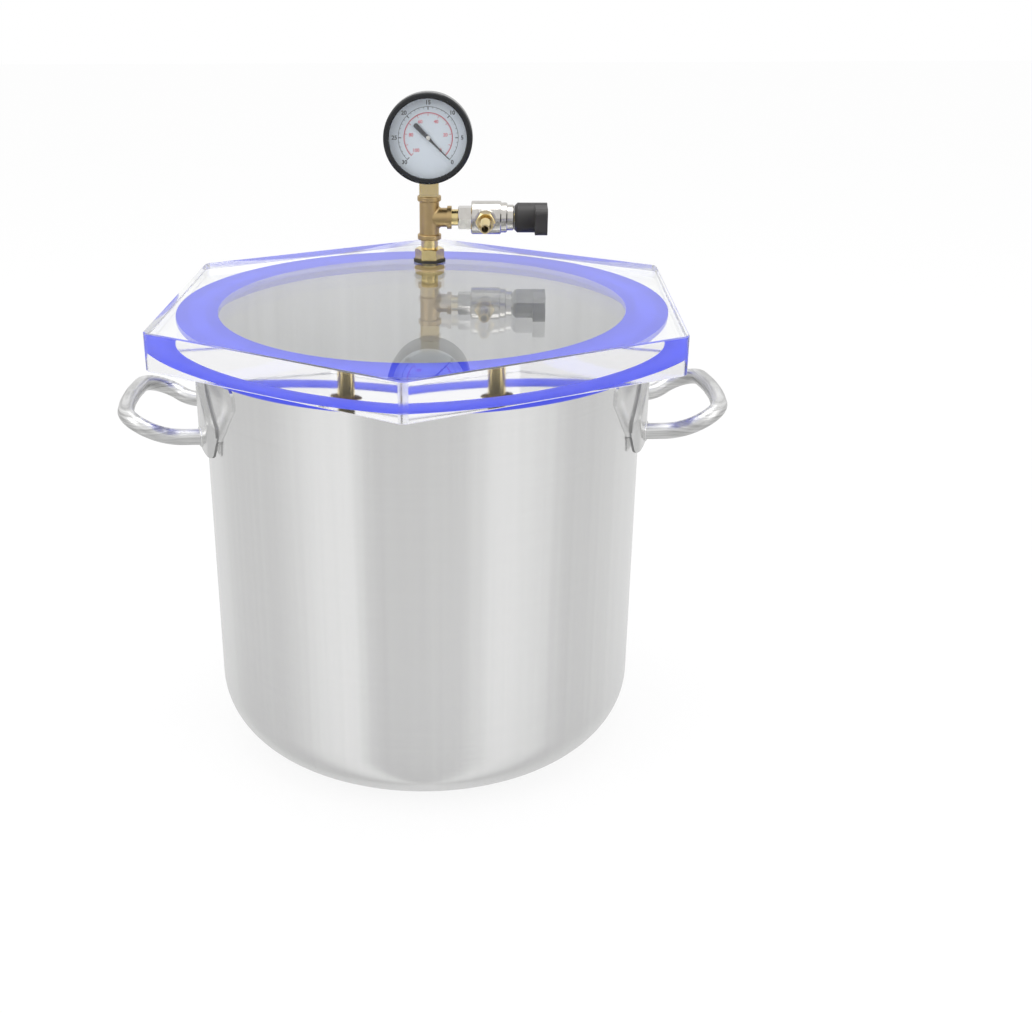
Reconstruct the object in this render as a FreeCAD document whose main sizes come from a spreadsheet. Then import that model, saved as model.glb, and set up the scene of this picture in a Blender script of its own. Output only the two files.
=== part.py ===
import FreeCAD, Part
import math
import operator
import os
from types import SimpleNamespace

import Sketcher
from FreeCAD import Placement, Rotation, Vector

# Vacuum chamber: a drawn steel pot, a silicone gasket and a thick hexagonal lid
# that carries a tee with a dial gauge on top and a quarter-turn valve beside it.
# The origin is the middle of the pot's base; +Z is up, the dial faces -Y and the
# valve points to +X. Lengths are millimetres.

os.makedirs("parts", exist_ok=True)
doc = FreeCAD.newDocument("VacuumChamber")
sheet = doc.addObject("Spreadsheet::Sheet", "Sizes")

SIZES = {
    # Pot
    "pot_inner_radius": 150.0,
    "pot_wall": 1.0,
    "pot_height": 287.5,
    "pot_corner_radius": 42.0,
    # Gasket
    "gasket_overhang": 15.0,
    "gasket_inreach": 12.0,
    "gasket_thickness": 4.5,
    "gasket_lip_width": 3.6,
    "gasket_lip_depth": 6.0,
    "gasket_lip_clearance": 0.3,
    "gasket_edge_radius": 1.0,
    # Lid
    "lid_margin": 3.0,
    "lid_thickness": 25.4,
    "lid_corner_radius": 6.0,
    "lid_edge_chamfer": 0.8,
    "lid_hole_clearance": 0.3,
    # Handles
    "handle_rod_diameter": 11.0,
    "handle_half_span": 41.6,
    "handle_splay": 14.8,
    "handle_reach": 57.4,
    "handle_drop": 55.1,
    "handle_rise": 14.8,
    "handle_level_run": 21.6,
    "handle_bend_radius": 19.0,
    "handle_slope_radius": 12.0,
    "plate_thickness": 1.4,
    "plate_top_drop": 5.0,
    "plate_shoulder_drop": 19.5,
    "plate_waist_drop": 39.5,
    "plate_foot_drop": 50.5,
    "plate_bottom_drop": 62.5,
    "plate_top_half_width": 90.0,
    "plate_shoulder_half_width": 92.0,
    "plate_waist_half_width": 79.0,
    "plate_foot_half_width": 70.0,
    "plate_bottom_half_width": 66.0,
    "plate_corner_radius": 6.0,
    # Fitting through the lid
    "fitting_offset": 110.0,
    "shank_radius": 6.5,
    "shank_tail": 14.0,
    "fitting_bore_radius": 3.0,
    "fitting_hex": 19.0,
    "fitting_hex_top": 10.0,
    "neck_radius": 6.3,
    "thread_clearance": 0.05,
    "thread_depth": 8.0,
    "washer_radius": 12.0,
    "washer_thickness": 1.6,
    "lock_nut_hex": 19.0,
    "lock_nut_thickness": 7.0,
    # Tee
    "tee_bottom": 16.4,
    "tee_top": 48.8,
    "tee_radius": 7.35,
    "tee_bead_radius": 8.85,
    "tee_bead_length": 4.0,
    "tee_branch_height": 32.6,
    "tee_branch_radius": 7.0,
    "tee_branch_reach": 16.6,
    "tee_branch_bead_radius": 8.5,
    "tee_branch_bead_length": 3.2,
    "tee_edge_radius": 0.8,
    "tee_throat_radius": 2.0,
    # Gauge
    "gauge_height": 91.8,
    "stem_square": 14.0,
    "stem_thread_radius": 4.8,
    "stem_bore_radius": 1.5,
    "stem_neck_radius": 5.0,
    "stem_block_width": 12.0,
    "stem_block_depth": 8.0,
    "stem_inset": 9.0,
    "stem_block_drop": 13.0,
    "case_radius": 31.0,
    "case_wall": 1.0,
    "case_length": 24.0,
    "case_edge_radius": 3.0,
    "bezel_wall": 1.2,
    "bezel_cover": 3.0,
    "bezel_skirt": 8.0,
    "bezel_lip": 1.2,
    "bezel_edge_radius": 1.4,
    "slip_clearance": 0.1,
    "lens_inset": 0.4,
    "lens_thickness": 2.0,
    "dial_clearance": 0.4,
    "dial_thickness": 0.8,
    "dial_depth": 5.0,
    "pointer_gap": 1.4,
    "pointer_thickness": 0.6,
    "pointer_inset": 8.6,
    "pointer_tail": 14.0,
    "pointer_tip_width": 0.5,
    "pointer_root_width": 1.8,
    "pointer_tail_width": 3.4,
    "pointer_hub_radius": 3.0,
    "pointer_hub_height": 1.2,
    "arbor_radius": 0.7,
    "pinion_radius": 1.7,
    "running_clearance": 0.08,
    "movement_plate": 1.0,
    "movement_gap": 3.0,
    "movement_half_width": 7.5,
    "movement_top": 9.0,
    "movement_foot": 6.0,
    "pillar_radius": 1.3,
    "pillar_inset": 2.0,
    "bourdon_inset": 10.0,
    "bourdon_width": 7.6,
    "bourdon_depth": 2.6,
    "bourdon_wall": 0.4,
    # Valve along the branch
    "nipple_radius": 6.0,
    "nipple_thread_radius": 4.6,
    "nipple_bore_radius": 2.6,
    "valve_start": 21.5,
    "valve_neck_hex": 15.8,
    "valve_barrel_start": 31.3,
    "valve_barrel_radius": 12.2,
    "valve_barrel_end": 53.6,
    "valve_collar_radius": 11.0,
    "valve_collar_end": 58.1,
    "valve_centre": 42.0,
    "valve_edge_chamfer": 0.8,
    "ball_radius": 7.0,
    "ball_bore_radius": 2.6,
    "ball_clearance": 0.25,
    "outlet_boss_radius": 8.0,
    "outlet_boss_reach": 15.0,
    "seat_radius": 5.0,
    "seat_thickness": 2.0,
    "packing_thickness": 2.6,
    "packing_nut_radius": 9.4,
    "packing_nut_end": 63.1,
    "stem_radius": 3.5,
    "tang_width": 3.0,
    "tang_depth": 2.4,
    "knob_start": 63.4,
    "knob_radius": 10.9,
    "knob_end": 78.4,
    "knob_chamfer": 2.2,
    "lever_end": 87.5,
    "lever_reach": 22.0,
    "lever_root_half_width": 10.2,
    "lever_tip_half_width": 9.4,
    "lever_tip_radius": 4.0,
    "screw_head_radius": 3.4,
    "screw_head_height": 2.0,
    "screw_thread_radius": 1.8,
    "screw_length": 12.0,
    "screw_slot_width": 0.9,
    "screw_slot_depth": 0.9,
    # Hose barb
    "barb_hex": 13.0,
    "barb_hex_length": 6.0,
    "barb_root_radius": 3.4,
    "barb_ridge_radius": 4.4,
    "barb_ridge_length": 5.0,
    "barb_plain_length": 4.0,
    "barb_bore_radius": 2.4,
}

BARB_RIDGES = 4
BOURDON_SWEEP = 235.0
POINTER_REST = -45.0
HANDLE_TURN = 4.0
HEX_BEVEL_ANGLE = 30.0
HEX_BEVEL_START = 0.48
HEX_BEVEL_OUTSIDE = 0.6
TANG_SHARE = 0.8
TOUCH = 1e-4
SPARE = 5.0

for row, (name, length) in enumerate(SIZES.items(), start=1):
    sheet.set("A%d" % row, name)
    sheet.set("B%d" % row, str(length))
    sheet.setAlias("B%d" % row, name)
doc.recompute()


class Size:
    """A length together with the sheet formula that gives it."""

    SIGNS = {"+": operator.add, "-": operator.sub, "*": operator.mul, "/": operator.truediv}

    def __init__(self, number, formula=None):
        self.number = float(number)
        self.formula = formula

    @classmethod
    def of(cls, value):
        return value if isinstance(value, Size) else cls(value)

    def text(self):
        return self.formula or repr(self.number)

    @classmethod
    def join(cls, left, sign, right):
        left = cls.of(left)
        right = cls.of(right)
        length = cls.SIGNS[sign](left.number, right.number)
        return cls(length, "(%s %s %s)" % (left.text(), sign, right.text()))

    def __add__(self, other):
        return Size.join(self, "+", other)

    def __radd__(self, other):
        return Size.join(other, "+", self)

    def __sub__(self, other):
        return Size.join(self, "-", other)

    def __rsub__(self, other):
        return Size.join(other, "-", self)

    def __mul__(self, other):
        return Size.join(self, "*", other)

    def __rmul__(self, other):
        return Size.join(other, "*", self)

    def __truediv__(self, other):
        return Size.join(self, "/", other)

    def __neg__(self):
        return Size.join(0, "-", self)


d = SimpleNamespace(**{name: Size(sheet.get(name), "Sizes." + name) for name in SIZES})
pieces = []


def number(value):
    return Size.of(value).number


def bind(item, prop, value):
    """Set a property and tie it to the sheet where its value comes from there."""
    value = Size.of(value)
    if "." not in prop:
        setattr(item, prop, value.number)
    if value.formula:
        item.setExpression(prop, value.formula)


def place(item, x, y, z, rotation=None):
    item.Placement = Placement(Vector(number(x), number(y), number(z)), rotation or Rotation())
    for axis, value in zip("xyz", (x, y, z)):
        bind(item, "Placement.Base." + axis, value)


def new_body(label):
    body = doc.addObject("PartDesign::Body", label)
    body.Label = label
    pieces.append(body)
    return body


def new_sketch(body, plane, shift=(0, 0, 0)):
    """A sketch on one of the body's own origin planes, moved in its own axes."""
    sketch = body.newObject("Sketcher::SketchObject", body.Name + "_sketch")
    support = next(item for item in body.Origin.OriginFeatures if item.Role == plane)
    sketch.AttachmentSupport = (support, "")
    sketch.MapMode = "FlatFace"
    sketch.AttachmentOffset = Placement(Vector(*(number(value) for value in shift)), Rotation())
    for axis, value in zip("xyz", shift):
        bind(sketch, "AttachmentOffset.Base." + axis, value)
    return sketch


def tie_point(sketch, line, across, along):
    """Hold the start of a line at two distances from the sketch's origin."""
    for kind, axis, value in (("DistanceX", -2, across), ("DistanceY", -1, along)):
        value = Size.of(value)
        if value.number == 0 and not value.formula:
            sketch.addConstraint(Sketcher.Constraint("PointOnObject", line, 1, axis))
            continue
        index = sketch.addConstraint(Sketcher.Constraint(kind, -1, 1, line, 1, value.number))
        if value.formula:
            sketch.setExpression("Constraints[%d]" % index, value.formula)


def outline(sketch, corners):
    """A closed outline of straight sides with every corner tied to the sheet."""
    first = sketch.GeometryCount
    spots = [Vector(number(across), number(along), 0) for across, along in corners]
    for start, end in zip(spots, spots[1:] + spots[:1]):
        sketch.addGeometry(Part.LineSegment(start, end), False)
    for i, (across, along) in enumerate(corners):
        following = (i + 1) % len(corners)
        sketch.addConstraint(Sketcher.Constraint("Coincident", first + i, 2, first + following, 1))
        tie_point(sketch, first + i, across, along)


def circle(sketch, radius, across=0, along=0):
    centre = Vector(number(across), number(along), 0)
    curve = sketch.addGeometry(Part.Circle(centre, Vector(0, 0, 1), number(radius)), False)
    for kind, value in (("DistanceX", across), ("DistanceY", along)):
        index = sketch.addConstraint(Sketcher.Constraint(kind, -1, 1, curve, 3, number(value)))
        if Size.of(value).formula:
            sketch.setExpression("Constraints[%d]" % index, value.formula)
    index = sketch.addConstraint(Sketcher.Constraint("Radius", curve, number(radius)))
    sketch.setExpression("Constraints[%d]" % index, radius.formula)


def box_corners(low_across, low_along, high_across, high_along):
    return [(low_across, low_along), (high_across, low_along),
            (high_across, high_along), (low_across, high_along)]


def hex_corners(across_flats, start=0.0):
    reach = across_flats / math.sqrt(3)
    angles = [math.radians(start + 60 * i) for i in range(6)]
    return [(reach * math.cos(angle), reach * math.sin(angle)) for angle in angles]


def turn(body, corners, axis="V_Axis", shift=(0, 0, 0), cut=False):
    """Turn a half section about an axis of its sketch, as material or as a cut."""
    sketch = new_sketch(body, "XZ_Plane", shift)
    outline(sketch, corners)
    kind = "Groove" if cut else "Revolution"
    feature = body.newObject("PartDesign::" + kind, body.Name + "_" + kind.lower())
    feature.Profile = sketch
    feature.ReferenceAxis = (sketch, [axis])
    feature.Angle = 360.0
    body.Tip = feature
    return feature


def extrude(body, draw, length, plane="XY_Plane", shift=(0, 0, 0), cut=False, reverse=False):
    """Pad or pocket whatever draw puts on a new sketch."""
    sketch = new_sketch(body, plane, shift)
    draw(sketch)
    kind = "Pocket" if cut else "Pad"
    feature = body.newObject("PartDesign::" + kind, body.Name + "_" + kind.lower())
    feature.Profile = sketch
    bind(feature, "Length", length)
    feature.Reversed = reverse
    body.Tip = feature
    return feature


def ring_edge(radius, height):
    """A test for the circular edge of one radius at one height."""
    def chosen(edge):
        curve = edge.Curve
        return (isinstance(curve, Part.Circle) and abs(curve.Radius - number(radius)) < TOUCH
                and abs(curve.Center.z - number(height)) < TOUCH)
    return chosen


def upright_edge(edge):
    """A test for straight edges that stand along the body's Z axis."""
    return isinstance(edge.Curve, Part.Line) and abs(abs(edge.tangentAt(edge.FirstParameter).z) - 1) < TOUCH


def bevel_hex(body, across_flats, face, inward):
    """Take the corners off one face of a hexagon; inward is the way to its middle."""
    flat = across_flats * HEX_BEVEL_START
    outside = across_flats * HEX_BEVEL_OUTSIDE
    depth = (outside - flat) * (inward * math.tan(math.radians(HEX_BEVEL_ANGLE)))
    turn(body, [(flat, face), (outside, face), (outside, face + depth)], cut=True)


def dress(body, kind, size, chosen):
    """Fillet or chamfer the edges of the body's last feature that a test picks."""
    doc.recompute()
    base = body.Tip
    names = ["Edge%d" % (i + 1) for i, edge in enumerate(base.Shape.Edges) if chosen(edge)]
    feature = body.newObject("PartDesign::" + kind, body.Name + "_" + kind.lower())
    feature.Base = (base, names)
    bind(feature, "Radius" if kind == "Fillet" else "Size", size)
    body.Tip = feature


pot_outer_radius = d.pot_inner_radius + d.pot_wall
gasket_outer_radius = pot_outer_radius + d.gasket_overhang
gasket_inner_radius = d.pot_inner_radius - d.gasket_inreach
lid_across_flats = 2 * (gasket_outer_radius + d.lid_margin)
lid_bottom = d.pot_height + d.gasket_thickness
lid_top = lid_bottom + d.lid_thickness
plate_outer_radius = pot_outer_radius + d.plate_thickness
branch_level = lid_top + d.tee_branch_height
gauge_level = lid_top + d.gauge_height

FACING_VIEWER = Rotation(Vector(1, 0, 0), 90)
ALONG_BRANCH = Rotation(Vector(0, 1, 0), 90)
AROUND_POT = Rotation(Vector(0, 0, 1), HANDLE_TURN)


def make_pot():
    body = new_body("pot")
    turn(body, [(0, 0), (pot_outer_radius, 0), (pot_outer_radius, d.pot_height),
                (d.pot_inner_radius, d.pot_height), (d.pot_inner_radius, d.pot_wall),
                (0, d.pot_wall)])
    dress(body, "Fillet", d.pot_corner_radius, ring_edge(pot_outer_radius, 0))
    dress(body, "Fillet", d.pot_corner_radius - d.pot_wall,
          ring_edge(d.pot_inner_radius, d.pot_wall))


def make_gasket():
    body = new_body("gasket")
    lip_outer = d.pot_inner_radius - d.gasket_lip_clearance
    lip_inner = lip_outer - d.gasket_lip_width
    lip_bottom = d.pot_height - d.gasket_lip_depth
    turn(body, [(gasket_inner_radius, d.pot_height), (lip_inner, d.pot_height),
                (lip_inner, lip_bottom), (lip_outer, lip_bottom), (lip_outer, d.pot_height),
                (gasket_outer_radius, d.pot_height), (gasket_outer_radius, lid_bottom),
                (gasket_inner_radius, lid_bottom)])
    dress(body, "Fillet", d.gasket_edge_radius, ring_edge(gasket_outer_radius, d.pot_height))
    dress(body, "Fillet", d.gasket_edge_radius, ring_edge(gasket_inner_radius, d.pot_height))


def make_lid():
    body = new_body("lid")
    extrude(body, lambda sketch: outline(sketch, hex_corners(lid_across_flats, 30.0)), d.lid_thickness)
    dress(body, "Fillet", d.lid_corner_radius, upright_edge)
    dress(body, "Chamfer", d.lid_edge_chamfer,
          lambda edge: abs(edge.tangentAt(edge.FirstParameter).z) < TOUCH)
    hole = d.shank_radius + d.lid_hole_clearance
    extrude(body, lambda sketch: circle(sketch, hole, 0, d.fitting_offset), d.lid_thickness,
            cut=True, reverse=True)
    place(body, 0, 0, lid_bottom)


def rounded_path(points, radii):
    """Straight runs joined by tangent arcs, one arc at each inner point."""
    edges = []
    start = points[0]
    for before, corner, after, radius in zip(points, points[1:], points[2:], radii):
        back = (before - corner).normalize()
        ahead = (after - corner).normalize()
        half_turn = (math.pi - back.getAngle(ahead)) / 2
        reach = radius * math.tan(half_turn)
        first = corner + back * reach
        last = corner + ahead * reach
        rise = radius / math.cos(half_turn) - radius
        middle = corner + (back + ahead).normalize() * rise
        edges.append(Part.LineSegment(start, first).toShape())
        edges.append(Part.Arc(first, middle, last).toShape())
        start = last
    edges.append(Part.LineSegment(start, points[-1]).toShape())
    return Part.Wire(edges)


def make_handle(side, sign):
    """A bent rod: level beside the curved plate, then a wider loop that rises."""
    rod_radius = number(d.handle_rod_diameter) / 2
    span = number(d.handle_half_span)
    loop_span = number(d.handle_half_span + d.handle_splay)
    low = number(d.pot_height - d.handle_drop)
    high = number(d.pot_height - d.handle_drop + d.handle_rise)
    wall = number(plate_outer_radius)
    root = math.sqrt(wall ** 2 - span ** 2) - rod_radius - SPARE
    kink = number(plate_outer_radius + d.handle_level_run)
    end = number(plate_outer_radius + d.handle_reach) - rod_radius
    stations = [(root, span, low), (kink, span, low), (end, loop_span, high)]
    near = [Vector(sign * out, -half, level) for out, half, level in stations]
    far = [Vector(point.x, -point.y, point.z) for point in reversed(near)]
    bend = number(d.handle_bend_radius)
    slope = number(d.handle_slope_radius)
    path = rounded_path(near + far, [slope, bend, bend, slope])
    section = Part.Wire(Part.makeCircle(rod_radius, near[0], Vector(sign, 0, 0)))
    rod = path.makePipeShell([section], True, False)
    core = Part.makeCylinder(wall, number(d.pot_height))
    handle = doc.addObject("Part::Feature", "handle_" + side)
    handle.Label = "handle_" + side
    handle.Shape = rod.cut(core)
    place(handle, 0, 0, 0, AROUND_POT)
    pieces.append(handle)


def make_handle_plate(side, sign):
    """A shield cut from thin sheet and rolled to the pot's wall."""
    outer = doc.addObject("Part::Cylinder", "plate_outside_" + side)
    inner = doc.addObject("Part::Cylinder", "plate_inside_" + side)
    for cylinder, radius in ((outer, plate_outer_radius), (inner, pot_outer_radius)):
        bind(cylinder, "Radius", radius)
        bind(cylinder, "Height", d.pot_height)
    sheet_tube = doc.addObject("Part::Cut", "plate_sheet_" + side)
    sheet_tube.Base = outer
    sheet_tube.Tool = inner

    drops = [(d.plate_top_half_width, d.plate_top_drop),
             (d.plate_shoulder_half_width, d.plate_shoulder_drop),
             (d.plate_waist_half_width, d.plate_waist_drop),
             (d.plate_foot_half_width, d.plate_foot_drop),
             (d.plate_bottom_half_width, d.plate_bottom_drop)]
    half = [(across, d.pot_height - drop) for across, drop in drops]
    cutter = doc.addObject("PartDesign::Body", "plate_outline_" + side)
    corners = half + [(-across, along) for across, along in reversed(half)]
    extrude(cutter, lambda sketch: outline(sketch, corners), plate_outer_radius + SPARE,
            plane="YZ_Plane", reverse=sign < 0)
    dress(cutter, "Fillet", d.plate_corner_radius,
          lambda edge: abs(abs(edge.tangentAt(edge.FirstParameter).x) - 1) < TOUCH)

    plate = doc.addObject("Part::Common", "handle_plate_" + side)
    plate.Base = sheet_tube
    plate.Tool = cutter
    plate.Label = "handle_plate_" + side
    place(plate, 0, 0, 0, AROUND_POT)
    pieces.append(plate)


def on_fitting(body, level=lid_top):
    place(body, 0, d.fitting_offset, level)


def make_through_fitting():
    body = new_body("through_fitting")
    tail = -(d.lid_thickness + d.shank_tail)
    extrude(body, lambda sketch: outline(sketch, hex_corners(d.fitting_hex)),
            d.fitting_hex_top - d.washer_thickness, shift=(0, 0, d.washer_thickness))
    bevel_hex(body, d.fitting_hex, d.fitting_hex_top, -1)
    neck_top = d.tee_bottom + d.thread_depth
    turn(body, [(0, tail), (d.shank_radius, tail), (d.shank_radius, d.fitting_hex_top),
                (d.neck_radius, d.fitting_hex_top), (d.neck_radius, neck_top), (0, neck_top)])
    turn(body, box_corners(0, tail - SPARE, d.fitting_bore_radius, neck_top + SPARE), cut=True)
    on_fitting(body)


def make_washer(label, level):
    body = new_body(label)
    turn(body, box_corners(d.shank_radius + d.thread_clearance, 0, d.washer_radius, d.washer_thickness))
    on_fitting(body, level)


def make_lock_nut():
    body = new_body("lock_nut")
    extrude(body, lambda sketch: outline(sketch, hex_corners(d.lock_nut_hex)), d.lock_nut_thickness)
    bevel_hex(body, d.lock_nut_hex, 0, 1)
    turn(body, box_corners(0, -SPARE, d.shank_radius + d.thread_clearance,
                           d.lock_nut_thickness + SPARE), cut=True)
    on_fitting(body, lid_bottom - d.washer_thickness - d.lock_nut_thickness)


def make_tee():
    """A brass tee: an upright run with a bead at each end and a branch to +X."""
    body = new_body("tee")
    low_bead = d.tee_bottom + d.tee_bead_length
    high_bead = d.tee_top - d.tee_bead_length
    turn(body, [(0, d.tee_bottom), (d.tee_bead_radius, d.tee_bottom), (d.tee_bead_radius, low_bead),
                (d.tee_radius, low_bead), (d.tee_radius, high_bead), (d.tee_bead_radius, high_bead),
                (d.tee_bead_radius, d.tee_top), (0, d.tee_top)])
    for height in (d.tee_bottom, low_bead, high_bead, d.tee_top):
        dress(body, "Fillet", d.tee_edge_radius, ring_edge(d.tee_bead_radius, height))
    branch = (0, d.tee_branch_height, 0)
    bead_start = d.tee_branch_reach - d.tee_branch_bead_length
    turn(body, [(0, 0), (d.tee_branch_reach, 0), (d.tee_branch_reach, d.tee_branch_bead_radius),
                (bead_start, d.tee_branch_bead_radius), (bead_start, d.tee_branch_radius),
                (0, d.tee_branch_radius)], axis="H_Axis", shift=branch)
    dress(body, "Fillet", d.tee_throat_radius, lambda edge: isinstance(edge.Curve, Part.BSplineCurve))
    bottom_socket = d.neck_radius + d.thread_clearance
    top_socket = d.stem_thread_radius + d.thread_clearance
    side_socket = d.nipple_thread_radius + d.thread_clearance
    turn(body, box_corners(0, d.tee_bottom - SPARE, bottom_socket, d.tee_bottom + d.thread_depth),
         cut=True)
    turn(body, box_corners(0, d.tee_bottom, d.fitting_bore_radius, d.tee_top), cut=True)
    turn(body, box_corners(0, d.tee_top - d.thread_depth, top_socket, d.tee_top + SPARE), cut=True)
    turn(body, box_corners(d.tee_branch_reach - d.thread_depth, 0, d.tee_branch_reach + SPARE,
                           side_socket), axis="H_Axis", shift=branch, cut=True)
    turn(body, box_corners(0, 0, d.tee_branch_reach, d.nipple_bore_radius), axis="H_Axis",
         shift=branch, cut=True)
    on_fitting(body)


def make_gauge_socket():
    """The gauge's square stem, its thread below and the block inside the case."""
    body = new_body("gauge_socket")
    square = d.stem_square / 2
    case_floor = d.gauge_height - d.case_radius
    inside_floor = case_floor + d.case_wall
    block_top = d.gauge_height - d.stem_block_drop
    extrude(body, lambda sketch: outline(sketch, box_corners(-square, -square, square, square)),
            case_floor - d.slip_clearance - d.tee_top, shift=(0, 0, d.tee_top))
    block_floor = inside_floor + 2 * d.case_wall
    turn(body, box_corners(0, d.tee_top - d.thread_depth, d.stem_thread_radius, d.tee_top))
    turn(body, box_corners(0, d.tee_top, d.stem_neck_radius, block_floor))
    width = d.stem_block_width / 2
    depth = d.stem_block_depth / 2
    extrude(body, lambda sketch: outline(sketch, box_corners(-width, -depth, width, depth)),
            block_top - block_floor, shift=(0, 0, block_floor))
    turn(body, box_corners(0, d.tee_top - d.thread_depth - SPARE, d.stem_bore_radius,
                           block_top - 2 * d.case_wall), cut=True)
    on_fitting(body)


def on_gauge(body, angle=0.0):
    """Stand a piece on the gauge's axis, turned by an angle seen from the front."""
    facing = FACING_VIEWER.multiply(Rotation(Vector(0, 0, 1), angle))
    place(body, 0, d.fitting_offset + d.stem_inset, gauge_level, facing)


dial_front = d.case_length - d.dial_depth
dial_back = dial_front - d.dial_thickness
pointer_back = dial_front + d.pointer_gap
lens_back = d.case_length
lens_front = lens_back + d.lens_thickness
lens_radius = d.case_radius - d.lens_inset
dial_radius = d.case_radius - d.case_wall - d.dial_clearance
pointer_reach = dial_radius - d.pointer_inset
bezel_radius = d.case_radius + d.slip_clearance + d.bezel_wall
bezel_opening = d.case_radius - d.bezel_cover
bourdon_radius = d.case_radius - d.bourdon_inset
movement_back = d.stem_inset + d.stem_block_depth / 2


def make_gauge_case():
    body = new_body("gauge_case")
    inner = d.case_radius - d.case_wall
    turn(body, [(0, 0), (d.case_radius, 0), (d.case_radius, d.case_length), (inner, d.case_length),
                (inner, d.case_wall), (0, d.case_wall)])
    dress(body, "Fillet", d.case_edge_radius, ring_edge(d.case_radius, 0))
    dress(body, "Fillet", d.case_edge_radius - d.case_wall, ring_edge(inner, d.case_wall))
    hole = d.stem_neck_radius + d.slip_clearance
    extrude(body, lambda sketch: circle(sketch, hole, 0, d.stem_inset), d.case_radius + SPARE,
            plane="XZ_Plane", cut=True, reverse=True)
    on_gauge(body)


def make_gauge_bezel():
    body = new_body("gauge_bezel")
    inner = d.case_radius + d.slip_clearance
    front = lens_front + d.bezel_lip
    back = d.case_length - d.bezel_skirt
    turn(body, [(inner, back), (bezel_radius, back), (bezel_radius, front),
                (bezel_opening, front), (bezel_opening, lens_front), (inner, lens_front)])
    dress(body, "Fillet", d.bezel_edge_radius / 2, ring_edge(bezel_opening, front))
    dress(body, "Fillet", d.bezel_edge_radius, ring_edge(bezel_radius, front))
    on_gauge(body)


def make_gauge_lens():
    body = new_body("gauge_lens")
    turn(body, box_corners(0, lens_back, lens_radius, lens_front))
    on_gauge(body)


def make_gauge_dial():
    body = new_body("gauge_dial")
    turn(body, box_corners(d.arbor_radius + d.running_clearance, dial_back, dial_radius, dial_front))
    on_gauge(body)


def make_gauge_pointer():
    """A sheet pointer with a thin hand, a broad tail and a turned hub."""
    body = new_body("gauge_pointer")
    tip = d.pointer_tip_width / 2
    root = d.pointer_root_width / 2
    tail = d.pointer_tail_width / 2
    corners = [(pointer_reach, -tip), (pointer_reach, tip), (0, root), (-d.pointer_tail, tail),
               (-d.pointer_tail, -tail), (0, -root)]
    extrude(body, lambda sketch: outline(sketch, corners), d.pointer_thickness,
            shift=(0, 0, pointer_back))
    hub_top = pointer_back + d.pointer_hub_height
    turn(body, box_corners(0, pointer_back, d.pointer_hub_radius, hub_top))
    turn(body, box_corners(0, pointer_back - SPARE, d.arbor_radius, pointer_back + d.pointer_thickness),
         cut=True)
    on_gauge(body, POINTER_REST)


def make_gauge_arbor():
    body = new_body("gauge_arbor")
    start = movement_back - d.movement_plate / 2
    pinion_start = movement_back + d.movement_plate + d.running_clearance
    pinion_end = movement_back + d.movement_plate + d.movement_gap - d.running_clearance
    turn(body, [(0, start), (d.arbor_radius, start), (d.arbor_radius, pinion_start),
                (d.pinion_radius, pinion_start), (d.pinion_radius, pinion_end),
                (d.arbor_radius, pinion_end), (d.arbor_radius, pointer_back + d.pointer_thickness),
                (0, pointer_back + d.pointer_thickness)])
    on_gauge(body)


def make_gauge_movement():
    """Two plates on pillars that carry the arbor and hold the dial."""
    body = new_body("gauge_movement")
    width = d.movement_half_width
    height = d.movement_top
    low = -(d.stem_block_drop + d.movement_foot)
    upper = movement_back + d.movement_plate + d.movement_gap
    for level in (movement_back, upper):
        extrude(body, lambda sketch: outline(sketch, box_corners(-width, low, width, height)),
                d.movement_plate, shift=(0, 0, level))
    for across in (-width + d.pillar_inset, width - d.pillar_inset):
        for along in (low + d.pillar_inset, height - d.pillar_inset):
            extrude(body, lambda sketch: circle(sketch, d.pillar_radius, across, along),
                    dial_back - movement_back, shift=(0, 0, movement_back))
    turn(body, box_corners(0, movement_back - SPARE, d.arbor_radius + d.running_clearance,
                           dial_back + SPARE), cut=True)
    on_gauge(body)


def make_bourdon_tube():
    """The flattened C tube that uncurls with pressure, soldered to the block."""
    body = new_body("bourdon_tube")
    inner = bourdon_radius - d.bourdon_depth / 2
    outer = bourdon_radius + d.bourdon_depth / 2
    low = d.stem_inset - d.bourdon_width / 2
    high = d.stem_inset + d.bourdon_width / 2
    sketch = new_sketch(body, "XZ_Plane")
    outline(sketch, box_corners(inner, low, outer, high))
    wall = d.bourdon_wall
    outline(sketch, box_corners(inner + wall, low + wall, outer - wall, high - wall))
    feature = body.newObject("PartDesign::Revolution", "bourdon_sweep")
    feature.Profile = sketch
    feature.ReferenceAxis = (sketch, ["V_Axis"])
    feature.Angle = BOURDON_SWEEP
    body.Tip = feature
    block_corner = (d.stem_block_width / 2 + d.slip_clearance) / inner
    on_gauge(body, -math.degrees(math.acos(number(block_corner))))


def on_branch(body):
    place(body, 0, d.fitting_offset, branch_level, ALONG_BRANCH)


def make_valve_nipple():
    body = new_body("valve_nipple")
    start = d.tee_branch_reach - d.thread_depth
    end = d.valve_start + d.thread_depth
    turn(body, [(0, start), (d.nipple_thread_radius, start), (d.nipple_thread_radius, d.tee_branch_reach),
                (d.nipple_radius, d.tee_branch_reach), (d.nipple_radius, d.valve_start),
                (d.nipple_thread_radius, d.valve_start), (d.nipple_thread_radius, end), (0, end)])
    turn(body, box_corners(0, start - SPARE, d.nipple_bore_radius, end + SPARE), cut=True)
    on_branch(body)


cavity_radius = d.ball_radius + d.ball_clearance
cavity_start = d.valve_centre - cavity_radius
packing_start = d.valve_centre + cavity_radius
packing_end = packing_start + d.packing_thickness
seat_front = d.ball_radius + d.ball_clearance
seat_back = seat_front + d.seat_thickness


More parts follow.
